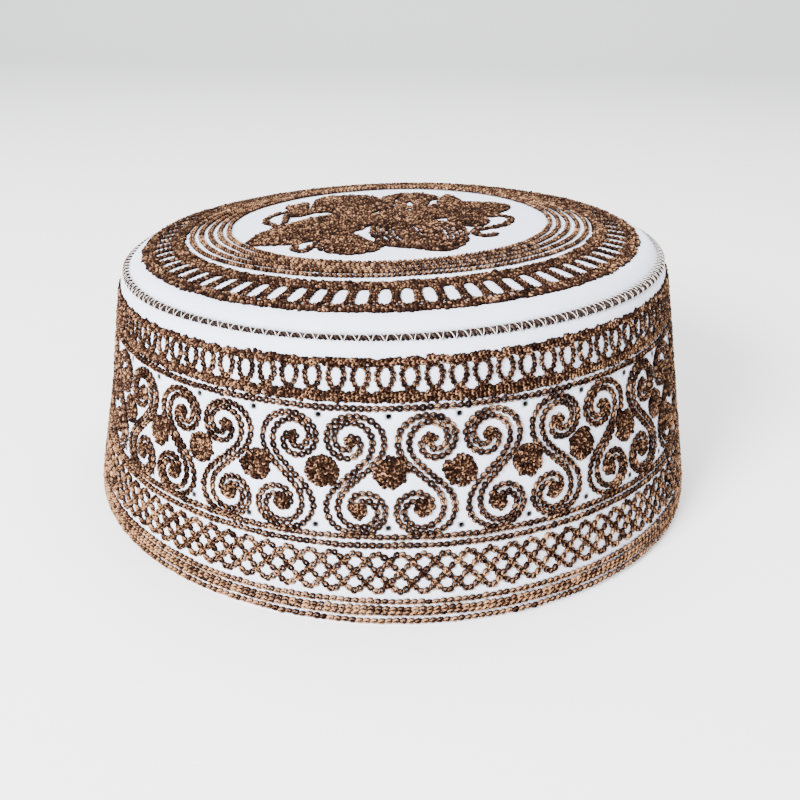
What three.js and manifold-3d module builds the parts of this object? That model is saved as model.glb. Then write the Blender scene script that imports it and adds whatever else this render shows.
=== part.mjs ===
// Embroidered kufi cap: a tapered cloth side band pierced with small eyelets, a low domed
// crown with a rolled edge, and the braid that covers the seam between them.
// Millimetres, +Z up. The origin is the middle of the rim, which rests on z = 0, and the
// front of the cap looks along -Y.
import * as THREE from 'three';
import { mergeVertices } from 'three/addons/utils/BufferGeometryUtils.js';
import Module from 'manifold-3d';

// Side band
const rimDiameter = 190;
const hemHeight = 4.75;         // upright hem, below the taper
const bandWall = 2;
const shoulderDrop = 4;         // height of the rounding below the seam
const shoulderInset = 2.8;      // how far the seam lies inside the end of the taper

// Seam
const seamDiameter = 159.8;
const seamHeight = 70.7;
const braidDiameter = 1.8;
const braidStandOff = 0.3;      // the braid's middle stands this far out of the seam line
const clearance = 0.3;          // between pieces that touch

// Crown
const crownWall = 2;
const edgeRun = 5.7;            // the rolled edge, measured inwards from the seam
const edgeRise = 4.1;           // the rolled edge, measured up from the seam
const domeRise = 5.5;           // middle of the crown above its rolled edge
const domeFullness = 2.5;       // 2 is a plain dome, more is flatter in the middle

// The crown sits a little aslant: it rises towards +X and its middle has moved towards -X
const crownLean = THREE.MathUtils.degToRad(2.14);
const crownShift = -0.8;

// Eyelets, one above and one below each gap between the embroidered scrolls
const eyeletDiameter = 1;
const gapCount = 32;
const eyeletRows = [
  { row: 'lower', heightShare: 0.364 },     // share of the seam height
  { row: 'upper', heightShare: 0.747 },
];

// Fineness of the faceted model
const facetsPerGap = 3;
const facets = gapCount * facetsPerGap;
const cornerSteps = 3;
const domeSteps = 4;
const grooveSides = 12;
const braidSides = 6;
const eyeletSides = 6;
const bendShare = 0.65;         // how far along each rounding its corner point lies

const rimRadius = rimDiameter / 2;
const seamRadius = seamDiameter / 2;

const cotton = new THREE.MeshStandardMaterial({ color: 0xe8eaf2, roughness: 0.9, metalness: 0 });
const braidThread = new THREE.MeshStandardMaterial({ color: 0x5a3a26, roughness: 0.7, metalness: 0 });

const wasm = await Module();
wasm.setup();

// Points of the sections are (radius, height)
const seamPoint = new THREE.Vector2(seamRadius, seamHeight);
const taperStart = new THREE.Vector2(rimRadius, hemHeight);
const taperEnd = new THREE.Vector2(seamRadius + shoulderInset, seamHeight - shoulderDrop);
const crownEdge = new THREE.Vector2(seamRadius - edgeRun, seamHeight + edgeRise);

// Corner points of the two roundings that meet at the seam
const taperDirection = taperEnd.clone().sub(taperStart).normalize();
const shoulderBend = taperEnd.clone().addScaledVector(taperDirection, shoulderDrop * bendShare);
const domeSlope = domeFullness * domeRise / crownEdge.x;
const edgeBend = new THREE.Vector2(
  crownEdge.x + edgeRun * bendShare,
  crownEdge.y - edgeRun * bendShare * domeSlope,
);

// Directions of travel up the outside of the cap, just below and just above the seam
const belowSeam = seamPoint.clone().sub(shoulderBend).normalize();
const aboveSeam = edgeBend.clone().sub(seamPoint).normalize();

// The side that faces the inside of the cap, for a direction of travel up its outside
function inward(direction) {
  return new THREE.Vector2(-direction.y, direction.x);
}

// Step through the wall, one unit thick, at a corner between two directions of travel
function mitre(before, after) {
  const middle = inward(before).add(inward(after)).normalize();
  return middle.divideScalar(middle.dot(inward(before)));
}

const seamMitre = mitre(belowSeam, aboveSeam);

// The inner side of a wall, from its outer side and the steps at its two ends
function innerSide(outer, wall, firstStep, lastStep) {
  return outer.map((point, i) => {
    let step = i === 0 ? firstStep : lastStep;
    if (i > 0 && i < outer.length - 1) {
      const before = point.clone().sub(outer[i - 1]).normalize();
      const after = outer[i + 1].clone().sub(point).normalize();
      step = mitre(before, after);
    }
    return point.clone().addScaledVector(step, wall);
  });
}

function bandSection() {
  const rounding = new THREE.QuadraticBezierCurve(taperEnd, shoulderBend, seamPoint);
  const outer = [new THREE.Vector2(rimRadius, 0), taperStart, ...rounding.getPoints(cornerSteps)];
  outer[outer.length - 1].addScaledVector(belowSeam, -clearance / 2);
  const inner = innerSide(outer, bandWall, new THREE.Vector2(-1, 0), seamMitre);
  return [...outer, ...inner.reverse(), outer[0]];
}

function crownSection() {
  const rounding = new THREE.QuadraticBezierCurve(seamPoint, edgeBend, crownEdge);
  const outer = rounding.getPoints(cornerSteps);
  outer[0].addScaledVector(aboveSeam, clearance / 2);
  for (let i = 1; i <= domeSteps; i += 1) {
    const share = 1 - i / domeSteps;
    const height = crownEdge.y + domeRise * (1 - share ** domeFullness);
    outer.push(new THREE.Vector2(crownEdge.x * share, height));
  }
  const inner = innerSide(outer, crownWall, seamMitre, new THREE.Vector2(0, -1));
  return [...inner.reverse(), ...outer];
}

// A round section centred on the braid, which lies in the seam
function braidSection(radius, sides) {
  const middle = seamPoint.clone().addScaledVector(seamMitre, -braidStandOff);
  const points = [];
  for (let i = 0; i <= sides; i += 1) {
    const angle = 2 * Math.PI * (i % sides) / sides;
    points.push(new THREE.Vector2(middle.x + radius * Math.cos(angle), middle.y + radius * Math.sin(angle)));
  }
  return points;
}

// A closed three.js geometry as a solid that can be joined and cut
function solidOf(geometry) {
  geometry.deleteAttribute('normal');
  geometry.deleteAttribute('uv');
  const merged = mergeVertices(geometry);
  const index = merged.index.array;
  const triangles = [];
  for (let i = 0; i < index.length; i += 3) {
    const [a, b, c] = [index[i], index[i + 1], index[i + 2]];
    if (a !== b && b !== c && c !== a) {
      triangles.push(a, b, c);
    }
  }
  return new wasm.Manifold(new wasm.Mesh({
    numProp: 3,
    vertProperties: new Float32Array(merged.attributes.position.array),
    triVerts: new Uint32Array(triangles),
  }));
}

// A section turned about the upright axis, with a facet's middle at the front
function turned(section) {
  const geometry = new THREE.LatheGeometry(section, facets, Math.PI / facets, 2 * Math.PI);
  geometry.rotateX(Math.PI / 2);
  return solidOf(geometry);
}

function wallRadius(height) {
  const share = (height - taperStart.y) / (taperEnd.y - taperStart.y);
  return THREE.MathUtils.lerp(taperStart.x, taperEnd.x, share) - bandWall / 2;
}

function eyelet(height, turn) {
  const radius = eyeletDiameter / 2;
  const geometry = new THREE.CylinderGeometry(radius, radius, bandWall * 3, eyeletSides);
  geometry.translate(0, -wallRadius(height), height);
  geometry.rotateZ(turn);
  return solidOf(geometry);
}

function pierced(band) {
  let result = band;
  for (const { heightShare } of eyeletRows) {
    for (let i = 0; i < gapCount; i += 1) {
      result = result.subtract(eyelet(seamHeight * heightShare, 2 * Math.PI * i / gapCount));
    }
  }
  return result;
}

// The lean grows with height, so that the rim stays flat
function leaned(positions) {
  const result = new Float32Array(positions.length);
  for (let i = 0; i < positions.length; i += 3) {
    const [x, y, z] = [positions[i], positions[i + 1], positions[i + 2]];
    const growth = z / seamHeight;
    result[i] = x + crownShift * growth;
    result[i + 1] = y;
    result[i + 2] = z + Math.tan(crownLean) * growth * x;
  }
  return result;
}

function piece(name, solid, material) {
  const { vertProperties, triVerts } = solid.getMesh();
  const geometry = new THREE.BufferGeometry();
  geometry.setAttribute('position', new THREE.BufferAttribute(leaned(vertProperties), 3));
  geometry.setIndex(new THREE.BufferAttribute(triVerts, 1));
  geometry.computeVertexNormals();
  const mesh = new THREE.Mesh(geometry, material);
  mesh.name = name;
  return mesh;
}

const groove = turned(braidSection(braidDiameter / 2 + clearance, grooveSides));
const sideBand = pierced(turned(bandSection()).subtract(groove));
const crownPanel = turned(crownSection()).subtract(groove);
const seamBraid = turned(braidSection(braidDiameter / 2, braidSides));

const cap = new THREE.Group();
cap.name = 'kufi_cap';
cap.add(
  piece('side_band', sideBand, cotton),
  piece('crown_panel', crownPanel, cotton),
  piece('seam_braid', seamBraid, braidThread),
);

export default cap;
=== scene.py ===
# An embroidered kufi cap: white cotton worked all over in brown chain stitch, with a braid
# over the seam between band and crown, resting on a plain pale floor.
import math

import bpy
import numpy as np
from mathutils import Matrix, Vector
from mathutils.kdtree import KDTree


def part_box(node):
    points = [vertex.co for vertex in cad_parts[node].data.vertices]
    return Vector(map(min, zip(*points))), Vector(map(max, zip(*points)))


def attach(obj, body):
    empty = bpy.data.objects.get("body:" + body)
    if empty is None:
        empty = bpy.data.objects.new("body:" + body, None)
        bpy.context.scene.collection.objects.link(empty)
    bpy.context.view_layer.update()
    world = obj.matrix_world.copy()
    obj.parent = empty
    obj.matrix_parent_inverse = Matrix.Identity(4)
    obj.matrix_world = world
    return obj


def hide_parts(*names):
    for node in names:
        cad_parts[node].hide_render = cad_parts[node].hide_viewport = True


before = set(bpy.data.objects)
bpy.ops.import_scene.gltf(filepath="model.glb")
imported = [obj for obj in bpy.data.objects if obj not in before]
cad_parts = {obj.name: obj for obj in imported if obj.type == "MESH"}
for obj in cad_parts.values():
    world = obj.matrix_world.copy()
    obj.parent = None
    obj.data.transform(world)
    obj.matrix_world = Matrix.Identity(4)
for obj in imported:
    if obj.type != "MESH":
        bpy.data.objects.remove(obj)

bl_info = {
    "name": "Embroidered kufi cap",
    "version": (1, 0, 0),
    "blender": (4, 5, 0),
    "location": "3D View > Sidebar > Kufi cap",
    "description": "Builds the cloth, the embroidery and the seam of a kufi cap, and its stage",
    "category": "Object",
}

BODY = "root"
MM = 0.001
FULL_TURN = 2 * math.pi

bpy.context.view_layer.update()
band_low, band_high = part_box("side_band")
braid_low, braid_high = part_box("seam_braid")

BRAID_DIAMETER = 1.8 * MM
BRAID_STAND_OFF = 0.3 * MM
SEAM_SLOPE = 0.62               # share of the braid's stand-off that is upward
SEAM_OUT = 0.78                 # share of it that is outward


def length(name, description, default):
    """A size in metres."""
    return bpy.props.FloatProperty(
        name=name, description=description, default=default, subtype="DISTANCE", unit="LENGTH")


def share(name, description, default):
    """A share from 0 to 1."""
    return bpy.props.FloatProperty(
        name=name, description=description, default=default, min=0, max=1, subtype="FACTOR")


def repeats(name, description, default):
    """How often a motif repeats."""
    return bpy.props.IntProperty(name=name, description=description, default=default, min=4)


def tint(name, description, default):
    """A linear colour."""
    return bpy.props.FloatVectorProperty(
        name=name, description=description, default=default, size=3, min=0, max=1, subtype="COLOR")


class CapForm(bpy.types.PropertyGroup):
    """The shape of the cap's cloth, taken from the frame where the frame shows it."""

    rim_diameter: length("Rim diameter", "Outside diameter at the rim", band_high[1] - band_low[1])
    hem_height: length("Hem height", "Height of the upright hem below the taper", 4.75 * MM)
    wall: length("Wall", "Thickness of the cloth with its layers", 1.6 * MM)
    shoulder_drop: length("Shoulder drop", "Height of the rounding below the seam", 4 * MM)
    shoulder_inset: length("Shoulder inset", "How far the rounding draws in to the seam", 2.8 * MM)
    seam_diameter: length(
        "Seam diameter", "Diameter of the seam between band and crown",
        braid_high[1] - braid_low[1] - BRAID_DIAMETER - 2 * SEAM_OUT * BRAID_STAND_OFF)
    seam_height: length(
        "Seam height", "Height of the seam at the middle of the cap",
        (braid_high[2] + braid_low[2]) / 2 - SEAM_SLOPE * BRAID_STAND_OFF)
    edge_run: length("Edge run", "Width of the crown's rolled edge", 5.7 * MM)
    edge_rise: length("Edge rise", "Height of the crown's rolled edge", 4.1 * MM)
    dome_rise: length("Dome rise", "Middle of the crown above its rolled edge", 5.5 * MM)
    dome_fullness: bpy.props.FloatProperty(
        name="Dome fullness", description="2 is a plain dome, more is flatter in the middle",
        default=2.5)
    lean: bpy.props.FloatProperty(
        name="Lean", description="Angle of the seam to the floor",
        default=math.radians(2.14), subtype="ANGLE")
    shift: length("Shift", "Sideways shift of the seam", -0.8 * MM)
    softness: length("Softness", "Depth of the cloth's slow waves", 0.25 * MM)
    pucker: length("Pucker", "How deep stitches draw the cloth in", 0.25 * MM)
    inset: length("Inset", "How far the cloth lies inside the outline of its stitches", 0.4 * MM)
    squeeze: length("Squeeze", "How far each side of the cap is pressed in", 0.7 * MM)
    eyelet_diameter: length("Eyelet diameter", "Diameter of the punched eyelets", 1.2 * MM)


class StitchSizes(bpy.types.PropertyGroup):
    """The sizes of the chain stitches."""

    pitch: length("Stitch pitch", "Length of one link along its line", 1.8 * MM)
    short_pitch: length("Short pitch", "Length of one link in ovals and loops", 1.32 * MM)
    width: length("Stitch width", "Width of one link", 1.78 * MM)
    thread: length("Thread", "Thickness of the embroidery thread", 0.7 * MM)
    overlap: share("Overlap", "Share of a link that lies on the one before", 0.14)
    fill_pitch: length("Fill pitch", "Length of one link in filled areas", 1.0 * MM)
    row_gap: length("Row gap", "Distance between rows in filled areas", 0.88 * MM)
    unevenness: share("Unevenness", "How far links vary in size and direction", 0.12)
    fill_unevenness: share("Fill unevenness", "The same in filled areas", 0.4)


class CapColours(bpy.types.PropertyGroup):
    """The colours of cloth and threads."""

    cotton: tint("Cotton", "The white cloth", (0.64, 0.67, 0.79))
    # The dark and light colours of thread and cord are laid on by the tone attribute: the dark mostly
    # where shade is painted, the light mostly where highlights are painted, both also where the tone
    # varies at random
    thread_dark: tint("Thread, dark", "Brown thread in its shaded parts", (0.0035, 0.0011, 0.0007))
    thread_middle: tint("Thread, middle", "Brown thread in its middle tone", (0.037, 0.0165, 0.0105))
    thread_light: tint("Thread, light", "Brown thread where it shines", (0.52, 0.278, 0.142))
    cord_dark: tint("Cord, dark", "Seam cord in its shaded parts", (0.005, 0.0032, 0.003))
    cord_middle: tint("Cord, middle", "Seam cord in its middle tone", (0.034, 0.022, 0.019))
    cord_light: tint("Cord, light", "Seam cord where it shines", (0.42, 0.33, 0.28))
    white_thread: tint("White thread", "Sewing thread over the braid", (0.83, 0.78, 0.74))
    floor: tint("Floor", "The pale floor", (0.93, 0.93, 0.93))


class PatternCounts(bpy.types.PropertyGroup):
    """How often each motif repeats round the cap."""

    scrolls: repeats("Scrolls", "Scrolls round the band", 32)
    lattice_peaks: repeats("Lattice peaks", "Peaks of the lattice round the band", 104)
    ovals: repeats("Ovals", "Ovals in the band's border", 92)
    crown_loops: repeats("Crown loops", "Long loops in the crown's border", 77)
    zigzags: repeats("Zigzags", "Turns of the white thread over the braid", 158)


# The cap's outside, and where a thread lies on it

BEND_SHARE = 0.65               # how far along each rounding its corner point lies
HEM_CURVE_START = 0.4           # share of the hem's height where its curve begins
HEM_STEPS = 6
ROUNDING_STEPS = 8
DOME_STEPS = 32

# Soft cloth waves slowly: (share of the depth, waves round the cap, turn per metre up, start)
WAVES = ((0.5, 2, 0, 0.6), (0.3, 5, 40, 1.9), (0.2, 9, -70, 0))
# How far the sides are pressed in, in shares of the squeeze, at four levels: the rim, half way
# up the band, the seam and the crown's middle. Below 0 they bulge. The left has more of its own.
PRESSED_SIDES = (1, 1, 0.7, 0)
PRESSED_LEFT = (0.2, 0.7, -0.9, 0)


def bezier(start, bend, end, steps):
    """Points on a curve that starts and ends along the lines to its bend."""
    t = np.linspace(0, 1, steps + 1)[:, None]
    return (1 - t) ** 2 * start + 2 * t * (1 - t) * bend + t ** 2 * end


def outside_profile(form):
    """Radius and height of the cap's outside, from the rim over the seam to the crown's middle."""
    rim = form.rim_diameter / 2
    seam = np.array([form.seam_diameter / 2, form.seam_height])
    hem = np.array([rim, form.hem_height])
    taper_end = seam + [form.shoulder_inset, -form.shoulder_drop]
    edge = seam + [-form.edge_run, form.edge_rise]
    taper = (taper_end - hem) / np.linalg.norm(taper_end - hem)
    hem_curve = bezier(hem * [1, HEM_CURVE_START], hem, hem + taper * form.hem_height, HEM_STEPS)
    bend = taper_end + taper * form.shoulder_drop * BEND_SHARE
    shoulder = bezier(taper_end, bend, seam, ROUNDING_STEPS)
    slope = form.dome_fullness * form.dome_rise / edge[0]
    roll_bend = edge + np.array([1, -slope]) * form.edge_run * BEND_SHARE
    roll = bezier(seam, roll_bend, edge, ROUNDING_STEPS)
    left = np.linspace(1, 0, DOME_STEPS + 1)[1:]
    dome = np.column_stack([
        edge[0] * left,
        edge[1] + form.dome_rise * (1 - left ** form.dome_fullness),
    ])
    below = np.vstack([[[rim, 0]], hem_curve, shoulder])
    return np.vstack([below, roll[1:], dome]), len(below) - 1


class Skin:
    """The outside of the cap. A place on it is a turn about the middle and a run up from the rim."""

    def __init__(self, form):
        profile, seam = outside_profile(form)
        self.form = form
        self.radius, self.height = profile.T
        step = np.diff(profile, axis=0)
        along = step / np.linalg.norm(step, axis=1)[:, None]
        at_point = np.vstack([along[:1], along[:-1] + along[1:], along[-1:]])
        at_point /= np.linalg.norm(at_point, axis=1)[:, None]
        self.out, self.up = at_point[:, 1], -at_point[:, 0]
        self.run = np.concatenate([[0], np.cumsum(np.linalg.norm(step, axis=1))])
        self.seam = seam
        self.seam_run = self.run[seam]
        self.end_run = self.run[-1]

    def run_at_height(self, height):
        """The run of a height on the band."""
        return np.interp(height, self.height[:self.seam + 1], self.run[:self.seam + 1])

    def run_at_radius(self, radius):
        """The run of a radius on the crown."""
        return np.interp(-np.asarray(radius), -self.radius[self.seam:], self.run[self.seam:])

    def radius_at(self, run):
        return np.interp(run, self.run, self.radius)

    def softened(self, turn, run):
        """How far soft cloth stands off its plain shape: slow waves, and sides pressed in a little."""
        depth = self.form.softness * self.radius_at(run) / self.radius[0]
        wave = sum(part * np.sin(waves * turn + start + climb * run)
                   for part, waves, climb, start in WAVES)
        levels = [0, self.seam_run / 2, self.seam_run, self.end_run]
        pressed = np.interp(run, levels, PRESSED_SIDES) * np.sin(turn) ** 2
        pressed += np.interp(run, levels, PRESSED_LEFT) * np.clip(-np.sin(turn), 0, 1) ** 3
        return depth * wave - self.form.inset - self.form.squeeze * pressed

    def place(self, turn, run, lift=0.0):
        """The point at a turn and a run, lifted off the cloth by a length."""
        turn, run = np.broadcast_arrays(np.asarray(turn, float), np.asarray(run, float))
        lift = lift + self.softened(turn, run)
        radius = self.radius_at(run) + lift * np.interp(run, self.run, self.out)
        height = np.interp(run, self.run, self.height) + lift * np.interp(run, self.run, self.up)
        growth = height / self.form.seam_height
        x = radius * np.sin(turn) + self.form.shift * growth
        y = -radius * np.cos(turn)
        return np.stack([x, y, height + math.tan(self.form.lean) * growth * x], axis=-1)


# Meshes


def outward(points, faces):
    """The faces, turned round if they enclose a negative volume."""
    corner = points[faces[:, 0]]
    volume = 0.0
    for i in range(1, faces.shape[1] - 1):
        a, b = points[faces[:, i]], points[faces[:, i + 1]]
        volume += np.einsum("ij,ij->", corner, np.cross(a, b))
    return faces if volume > 0 else faces[:, ::-1]


def add_piece(name, material, points, face_groups, values=None, replaces=()):
    """A smooth mesh object made from points and groups of faces, riding on the cap's body."""
    mesh = bpy.data.meshes.new(name)
    corners = np.concatenate([group.ravel() for group in face_groups])
    sizes = np.concatenate([np.full(len(group), group.shape[1]) for group in face_groups])
    starts = np.concatenate([[0], np.cumsum(sizes)[:-1]])
    mesh.vertices.add(len(points))
    mesh.vertices.foreach_set("co", points.astype(np.float32).ravel())
    mesh.loops.add(len(corners))
    mesh.loops.foreach_set("vertex_index", corners.astype(np.int32))
    mesh.polygons.add(len(sizes))
    mesh.polygons.foreach_set("loop_start", starts.astype(np.int32))
    mesh.update(calc_edges=True)
    mesh.shade_smooth()
    for key, numbers in (values or {}).items():
        mesh.attributes.new(key, "FLOAT", "POINT").data.foreach_set("value", numbers.astype(np.float32))
    mesh.materials.append(material)
    piece = bpy.data.objects.new(name, mesh)
    bpy.context.scene.collection.objects.link(piece)
    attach(piece, BODY)
    if replaces:
        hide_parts(*replaces)
    return piece


def grid_faces(rows, columns, close_rows=False, close_columns=False):
    """Quads between the points of a grid that is numbered row by row."""
    i = np.arange(rows if close_rows else rows - 1)
    j = np.arange(columns if close_columns else columns - 1)
    i, j = np.meshgrid(i, j, indexing="ij")
    below, beside = (i + 1) % rows, (j + 1) % columns
    corners = [i * columns + j, i * columns + beside, below * columns + beside, below * columns + j]
    return np.stack([c.ravel() for c in corners], axis=1)


def closed_tube(middle, first, second, radius, sides):
    """A tube round a closed line, from two directions across it at each of its points."""
    angle = np.arange(sides) * FULL_TURN / sides
    cos, sin = np.cos(angle)[None, :, None], np.sin(angle)[None, :, None]
    ring = cos * first[:, None] + sin * second[:, None]
    points = (middle[:, None] + np.reshape(radius, (-1, 1, 1)) * ring).reshape(-1, 3)
    return points, grid_faces(len(middle), sides, close_rows=True, close_columns=True)


# Lines of stitches, each a list of turns and runs with word of whether it closes on itself


SMOOTH_STEPS = 6                # between two given points


def smooth_path(points, closed=False):
    """A smooth line through given points."""
    points = np.asarray(points, float)
    if closed:
        before, after, last = points[-1:], points[:2], len(points)
    else:
        before, after, last = points[:1], points[-1:], len(points) - 1
    p = np.vstack([before, points, after])
    t = (np.arange(SMOOTH_STEPS) / SMOOTH_STEPS)[:, None]
    spans = []
    for i in range(last):
        a, b, c, d = p[i:i + 4]
        bend = 2 * a - 5 * b + 4 * c - d + t * (3 * (b - c) + d - a)
        spans.append(b + 0.5 * t * (c - a + t * bend))
    spans.append(p[last + 1:last + 2])
    return np.vstack(spans)


LEVEL_STEPS = 720
RING_STEPS = 480
NEEDLE_WANDER = 0.1 * MM        # on the band
RING_WANDER = 0.12 * MM         # on the crown


def drift(turn, slow, fast, seed):
    """The needle's slight wander off its line, with two rates of waves, from about -1 to 1."""
    return 0.6 * np.sin(slow * turn + seed) + 0.4 * np.sin(fast * turn + 2 * seed)


def level_line(skin, height, seed=0):
    """A line round the band at one height."""
    turn = np.linspace(0, FULL_TURN, LEVEL_STEPS + 1)
    return turn, skin.run_at_height(height + NEEDLE_WANDER * drift(turn, 11, 29, seed)), True


def crown_line(skin, x, y, closed=False):
    """A line on the crown from its places in plan."""
    return np.unwrap(np.arctan2(x, -y)), skin.run_at_radius(np.hypot(x, y)), closed


# Rim lines and lattice: heights above the rim
RIM_LINE_HEIGHTS = (1.6 * MM, 3.8 * MM, 5.0 * MM, 7.0 * MM)
LATTICE_LOW = 9.1 * MM
LATTICE_HIGH = 19.7 * MM
LATTICE_LINE_HEIGHTS = (21.3 * MM, 23.4 * MM)
LATTICE_STRANDS = 4             # zigzags laid over each other, each a quarter period on
LATTICE_PHASE = math.radians(0.1)
LATTICE_SHARPNESS = 0.997       # 1 is a zigzag with sharp corners
LATTICE_STEPS = 24              # to each period of a zigzag


def uneven(turn, shift, spread):
    """A motif's turn as worked by hand: shifted, and spaced a little wider on one side of the cap."""
    return turn + shift + spread * np.sin(turn)


def rim_lines(skin):
    return [level_line(skin, height, seed=i) for i, height in enumerate(RIM_LINE_HEIGHTS)]


def lattice_lines(skin, counts):
    """The level lines above the lattice and its zigzags."""
    lines = [level_line(skin, height, seed=7 + i) for i, height in enumerate(LATTICE_LINE_HEIGHTS)]
    middle = (LATTICE_HIGH + LATTICE_LOW) / 2
    half = (LATTICE_HIGH - LATTICE_LOW) / 2
    periods = counts.lattice_peaks // LATTICE_STRANDS
    peak = FULL_TURN / counts.lattice_peaks
    turn = np.linspace(0, FULL_TURN, periods * LATTICE_STEPS + 1)
    wave = np.arcsin(np.sin(periods * turn) * LATTICE_SHARPNESS)
    height = middle + half * wave / math.asin(LATTICE_SHARPNESS)
    for strand in range(LATTICE_STRANDS):
        offset = LATTICE_PHASE + (strand + 0.5) * peak
        lines.append((turn + offset, skin.run_at_height(height), True))
    return lines


# One scroll is an S of two threads. Each arm below runs from the middle of the S to the middle
# of its upper spiral, as (across, up) in millimetres from the middle of the S. The lower half of
# the scroll is the upper half turned half way round.
OUTER_ARM = (
    (-1.15, -0.15), (-2.9, 1.4), (-5.0, 3.5), (-6.4, 5.8), (-6.9, 8.4), (-6.1, 11.3),
    (-3.5, 13.7), (0.5, 14.7), (4.5, 13.6), (6.9, 11.1), (7.2, 8.3), (5.8, 5.6), (3.0, 4.2),
    (0.2, 4.7), (-1.3, 6.6), (-1.0, 8.8), (0.8, 9.9), (2.4, 9.3), (2.2, 8.1),
)
INNER_ARM = (
    (-0.85, 2.1), (-2.8, 4.0), (-3.9, 6.1), (-4.1, 8.5), (-3.3, 10.9), (-1.3, 12.5),
    (1.3, 13.1), (3.7, 12.3), (5.1, 10.7), (5.4, 8.9), (4.7, 7.2), (3.2, 6.2), (1.5, 6.3),
    (0.7, 7.4), (1.3, 8.5),
)
SCROLL_HEIGHT = 38.5 * MM
SCROLL_SHIFT = math.radians(0.35)
SCROLL_SPREAD = math.radians(-1.2)
SCROLL_LEAN = 0.5 * MM
DISC_HEIGHT = 39.1 * MM
DISC_RADIUS = 4.45 * MM
# The small coils in the middle of each scroll's two spirals, as (across, up, radius)
SCROLL_COILS = ((1.0 * MM, 8.5 * MM, 1.9 * MM), (-1.0 * MM, -8.5 * MM, 2.5 * MM))
COIL_POINTS = 160
DISC_START = 2.4                # angle from one disc's outer end to the next, so that they differ
COIL_START = 1.7                # the same for the coils in the spirals
EYELET_HEIGHTS = (25.7 * MM, 52.8 * MM)


def scroll_place(skin, counts, column, height):
    """Turn and run of a motif in the frieze of scrolls, which leans a little more than the cap."""
    turn = uneven(column * FULL_TURN / counts.scrolls, SCROLL_SHIFT, SCROLL_SPREAD)
    return turn, skin.run_at_height(height + SCROLL_LEAN * np.sin(turn))


def scroll_lines(skin, counts):
    """The scrolls, each the mirror image of its neighbours."""
    inner = np.array(INNER_ARM)
    thread = smooth_path(np.vstack([-inner[::-1], OUTER_ARM])) * MM
    lines = []
    for column in range(counts.scrolls):
        turn, run = scroll_place(skin, counts, column + 0.5, SCROLL_HEIGHT)
        radius = skin.radius_at(run)
        mirror = 1 if column % 2 == 0 else -1
        for way in (1, -1):
            across, up = (way * thread).T
            lines.append((turn + mirror * across / radius, run + up, False))
    return lines


def coil(skin, turn, run, radius, row_gap, start):
    """A line that winds from the edge of a disc on the band to its middle."""
    rows = (radius - row_gap / 2) / row_gap
    angle = np.linspace(0, rows * FULL_TURN, COIL_POINTS)
    reach = (radius - row_gap / 2) * (1 - angle / angle[-1])
    across = reach * np.cos(angle + start)
    return turn + across / skin.radius_at(run), run + reach * np.sin(angle + start), False


def disc_lines(skin, counts, row_gap):
    """A disc in each gap between two scrolls, and the coils in the scrolls' spirals."""
    lines = []
    for gap in range(counts.scrolls):
        turn, run = scroll_place(skin, counts, gap, DISC_HEIGHT)
        lines.append(coil(skin, turn, run, DISC_RADIUS, row_gap, DISC_START * gap))
        turn, run = scroll_place(skin, counts, gap + 0.5, SCROLL_HEIGHT)
        mirror = 1 if gap % 2 == 0 else -1
        for across, up, radius in SCROLL_COILS:
            place = turn + mirror * across / skin.radius_at(run)
            lines.append(coil(skin, place, run + up, radius, row_gap, COIL_START * gap))
    return lines


# The border of ovals, from its single lower line to its upper edge
BORDER_LINE_HEIGHT = 54.7 * MM
BORDER_LOW_HEIGHTS = (56.5 * MM, 57.15 * MM, 57.75 * MM)
BORDER_HIGH_HEIGHTS = (65.15 * MM, 65.85 * MM)
BORDER_LEAN = 0.5 * MM          # how much higher than level the upper edge is on the right
BORDER_SWELL = 0.14 * MM        # how far the upper edge rises over each oval
BORDER_STEPS = 1440
OVAL_SHIFT = math.radians(-0.6)
OVAL_SPREAD = math.radians(0.5)
OVAL_WIDE = 1.85 * MM           # half the width between the middles of its two strands
# One oval's loop as (across, up): across in shares of its half width, up in millimetres
OVAL_LOOP = (
    (-1.2, 57.9), (-0.62, 58.2), (0.0, 58.75), (0.62, 59.8), (0.98, 61.3), (1.0, 62.9),
    (0.72, 64.3), (0.0, 65.0), (-0.72, 64.3), (-1.0, 62.9), (-0.98, 61.3), (-0.62, 59.8),
    (0.0, 58.75), (0.62, 58.2), (1.2, 57.9),
)


def border_line(skin):
    return [level_line(skin, BORDER_LINE_HEIGHT, seed=12)]


def border_edges(skin, counts):
    """The dense rows below and above the ovals; the upper ones swell over each oval."""
    lines = [level_line(skin, height, seed=14 + i) for i, height in enumerate(BORDER_LOW_HEIGHTS)]
    turn = np.linspace(0, FULL_TURN, BORDER_STEPS + 1)
    swell = BORDER_SWELL * np.cos(counts.ovals * turn) + BORDER_LEAN * np.sin(turn)
    for height in BORDER_HIGH_HEIGHTS:
        lines.append((turn, skin.run_at_height(height + swell), True))
    return lines


def oval_lines(skin, counts):
    across, up = smooth_path(OVAL_LOOP).T
    lines = []
    for oval in range(counts.ovals):
        turn = uneven(oval * FULL_TURN / counts.ovals, OVAL_SHIFT, OVAL_SPREAD)
        run = skin.run_at_height(up * MM + 0.5 * BORDER_LEAN * math.sin(turn))
        lines.append((turn + across * OVAL_WIDE / skin.radius_at(run), run, False))
    return lines


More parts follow.
